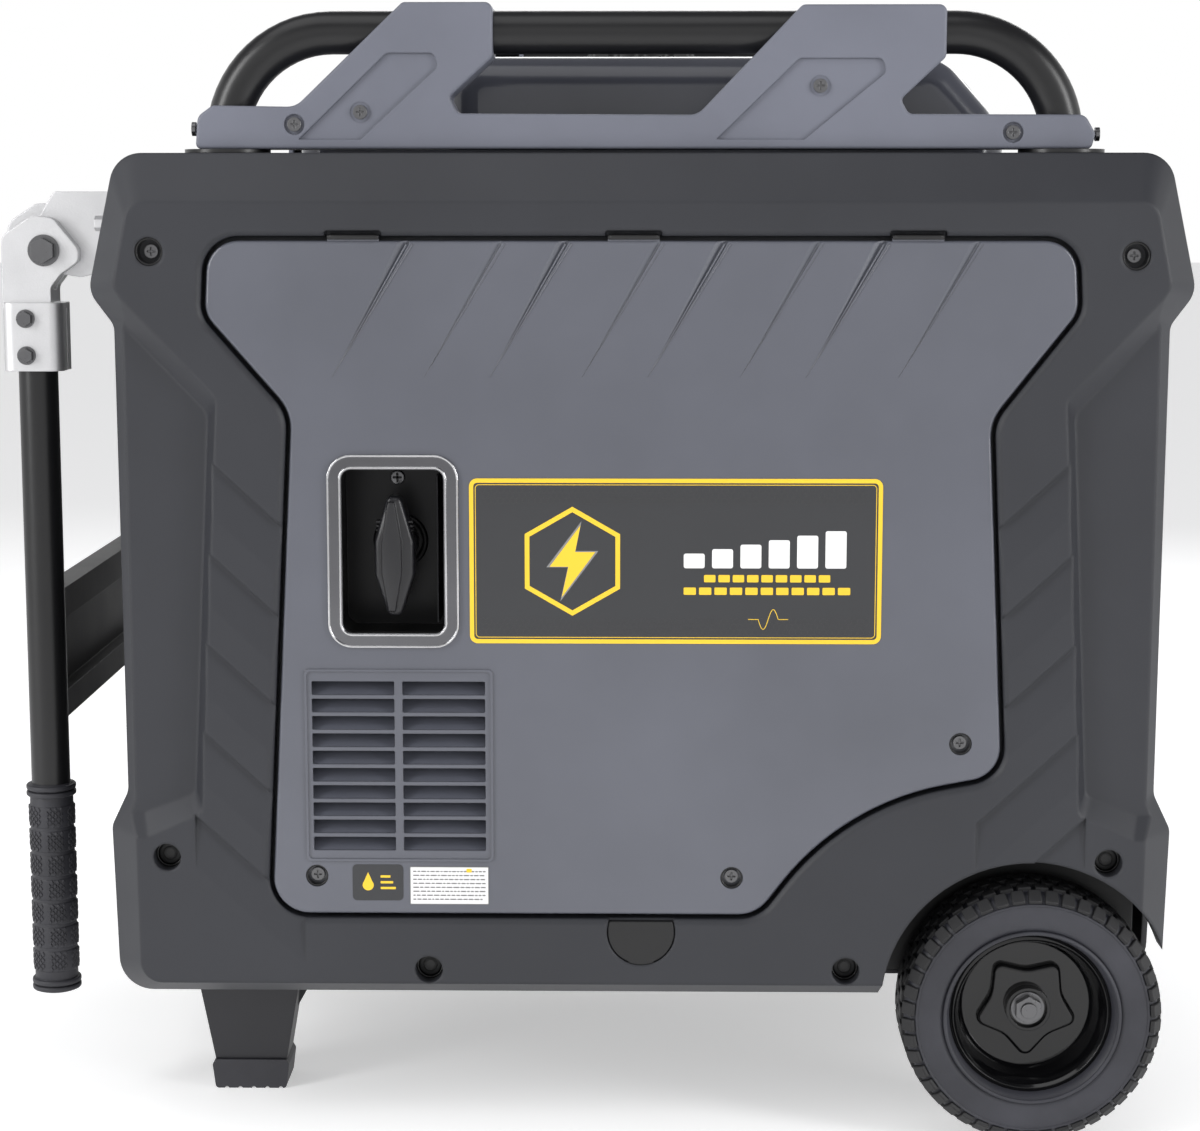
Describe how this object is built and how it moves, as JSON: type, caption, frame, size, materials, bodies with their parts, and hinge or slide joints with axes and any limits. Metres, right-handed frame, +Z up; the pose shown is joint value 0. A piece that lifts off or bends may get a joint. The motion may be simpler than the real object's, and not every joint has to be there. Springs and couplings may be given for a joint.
{
  "type": "portable generator",
  "caption": "Enclosed wheeled generator with moulded side frames, service door, recoil grip, guard tubes, fuel tank and swing-up pull handle.",
  "frame": {"origin": "on the floor, under the middle of the whole object's box", "axes": "+X from the pull handle end to the wheel end, +Y to the right side, +Z up"},
  "size_m": [0.8964, 0.62, 0.862],
  "materials": {
    "frame_plastic": "satin, fine moulded grain",
    "cover_plastic": "semi-gloss",
    "shell_plastic": "satin",
    "tank_paint": "gloss",
    "black_paint": "satin",
    "cast_metal": "satin cast",
    "steel": "machined",
    "dark_screws": "black oxide",
    "chrome": "polished",
    "rubber": "matte",
    "tyre_rubber": "matte",
    "control_plastic": "semi-gloss",
    "start_plastic": "semi-gloss green",
    "label_film": "printed film"
  },
  "bodies": {
    "root": {"side_frame_left": "frame_plastic", "side_frame_right": "frame_plastic", "drain_plugs": "frame_plastic", "service_door": "cover_plastic", "right_side_cover": "cover_plastic", "rail_cover_left": "cover_plastic", "rail_cover_right": "cover_plastic", "front_shell": "shell_plastic", "rear_shell": "shell_plastic", "top_deck": "shell_plastic", "control_panel": "shell_plastic", "wheel_houses": "shell_plastic", "recoil_pocket": "shell_plastic", "fan_shroud": "shell_plastic", "recoil_housing": "shell_plastic", "air_cleaner": "shell_plastic", "battery": "shell_plastic", "fuel_tank": "tank_paint", "guard_tubes": "black_paint", "base_tray": "black_paint", "front_legs": "black_paint", "axle_brackets": "black_paint", "handle_brackets": "cast_metal", "engine_block": "cast_metal", "head_cover": "cast_metal", "inverter_module": "cast_metal", "axle": "steel", "axle_nuts": "steel", "alternator_stator": "steel", "muffler": "steel", "tail_pipe": "steel", "frame_screws": "dark_screws", "door_screws": "dark_screws", "rail_screws": "dark_screws", "recoil_bezel": "chrome", "foot_pads": "rubber", "engine_mounts": "rubber", "outlets": "control_plastic", "labels": "label_film"},
    "handle": {"handle_knuckles": "cast_metal", "handle_bolts": "steel", "handle_tubes": "black_paint", "handle_grips": "rubber", "handle_crossbar": "black_paint"},
    "wheel_left": {"tyre_left": "tyre_rubber", "rim_left": "black_paint"},
    "wheel_right": {"tyre_right": "tyre_rubber", "rim_right": "black_paint"},
    "recoil_grip": {"recoil_grip": "control_plastic"},
    "recoil_pulley": {"recoil_pulley": "shell_plastic"},
    "crankshaft": {"crankshaft": "steel"},
    "fuel_cap": {"fuel_cap": "control_plastic"},
    "ignition_knob": {"ignition_knob": "control_plastic"},
    "start_button": {"start_button": "start_plastic"},
    "economy_rocker": {"economy_rocker": "control_plastic"},
    "breaker_main": {"breaker_main": "control_plastic"},
    "breaker_branch": {"breaker_branch": "control_plastic"},
    "outlet_flap_left": {"outlet_flap_left": "control_plastic"},
    "outlet_flap_right": {"outlet_flap_right": "control_plastic"}
  },
  "joints": [
    {"name": "handle_swing", "type": "hinge", "parent": "root", "child": "handle", "pos_m": [-0.41465, 0, 0.6796], "axis": [0, 1, 0], "range_deg": [0, 100]},
    {"name": "wheel_left_spin", "type": "hinge", "parent": "root", "child": "wheel_left", "pos_m": [0.33875, -0.277, 0.1], "axis": [0, 1, 0], "continuous": true},
    {"name": "wheel_right_spin", "type": "hinge", "parent": "root", "child": "wheel_right", "pos_m": [0.33875, 0.277, 0.1], "axis": [0, 1, 0], "continuous": true},
    {"name": "recoil_pull", "type": "slide", "parent": "root", "child": "recoil_grip", "axis": [0, -1, 0], "range_m": [0, 0.6], "stiffness_N_per_m": 15, "springref_m": -0.2},
    {"name": "recoil_pulley_spin", "type": "hinge", "parent": "root", "child": "recoil_pulley", "pos_m": [-0.00125, -0.217, 0.33], "axis": [0, 1, 0], "range_deg": [0, 800]},
    {"name": "crankshaft_spin", "type": "hinge", "parent": "root", "child": "crankshaft", "pos_m": [-0.00125, 0, 0.33], "axis": [0, 1, 0], "continuous": true},
    {"name": "fuel_cap_turn", "type": "hinge", "parent": "root", "child": "fuel_cap", "pos_m": [0.03875, 0, 0.84], "axis": [0, 0, 1], "range_deg": [0, 120]},
    {"name": "ignition_turn", "type": "hinge", "parent": "root", "child": "ignition_knob", "pos_m": [-0.35125, -0.13, 0.575], "axis": [-1, 0, 0], "range_deg": [0, 90]},
    {"name": "start_press", "type": "slide", "parent": "root", "child": "start_button", "axis": [1, 0, 0], "range_m": [0, 0.003], "stiffness_N_per_m": 300, "springref_m": -0.002},
    {"name": "economy_rock", "type": "hinge", "parent": "root", "child": "economy_rocker", "pos_m": [-0.33925, -0.04, 0.575], "axis": [0, 1, 0], "range_deg": [-8, 8]},
    {"name": "breaker_main_press", "type": "slide", "parent": "root", "child": "breaker_main", "axis": [1, 0, 0], "range_m": [0, 0.0025], "stiffness_N_per_m": 300, "springref_m": -0.002},
    {"name": "breaker_branch_press", "type": "slide", "parent": "root", "child": "breaker_branch", "axis": [1, 0, 0], "range_m": [0, 0.0025], "stiffness_N_per_m": 300, "springref_m": -0.002},
    {"name": "outlet_flap_left_open", "type": "hinge", "parent": "root", "child": "outlet_flap_left", "pos_m": [-0.35075, -0.12, 0.511], "axis": [0, 1, 0], "range_deg": [0, 110]},
    {"name": "outlet_flap_right_open", "type": "hinge", "parent": "root", "child": "outlet_flap_right", "pos_m": [-0.35075, -0.05, 0.511], "axis": [0, 1, 0], "range_deg": [0, 110]}
  ],
  "couplings": [
    {"joint": "recoil_pulley_spin", "follows": "recoil_pull", "rad_per_m": 22.727}
  ]
}
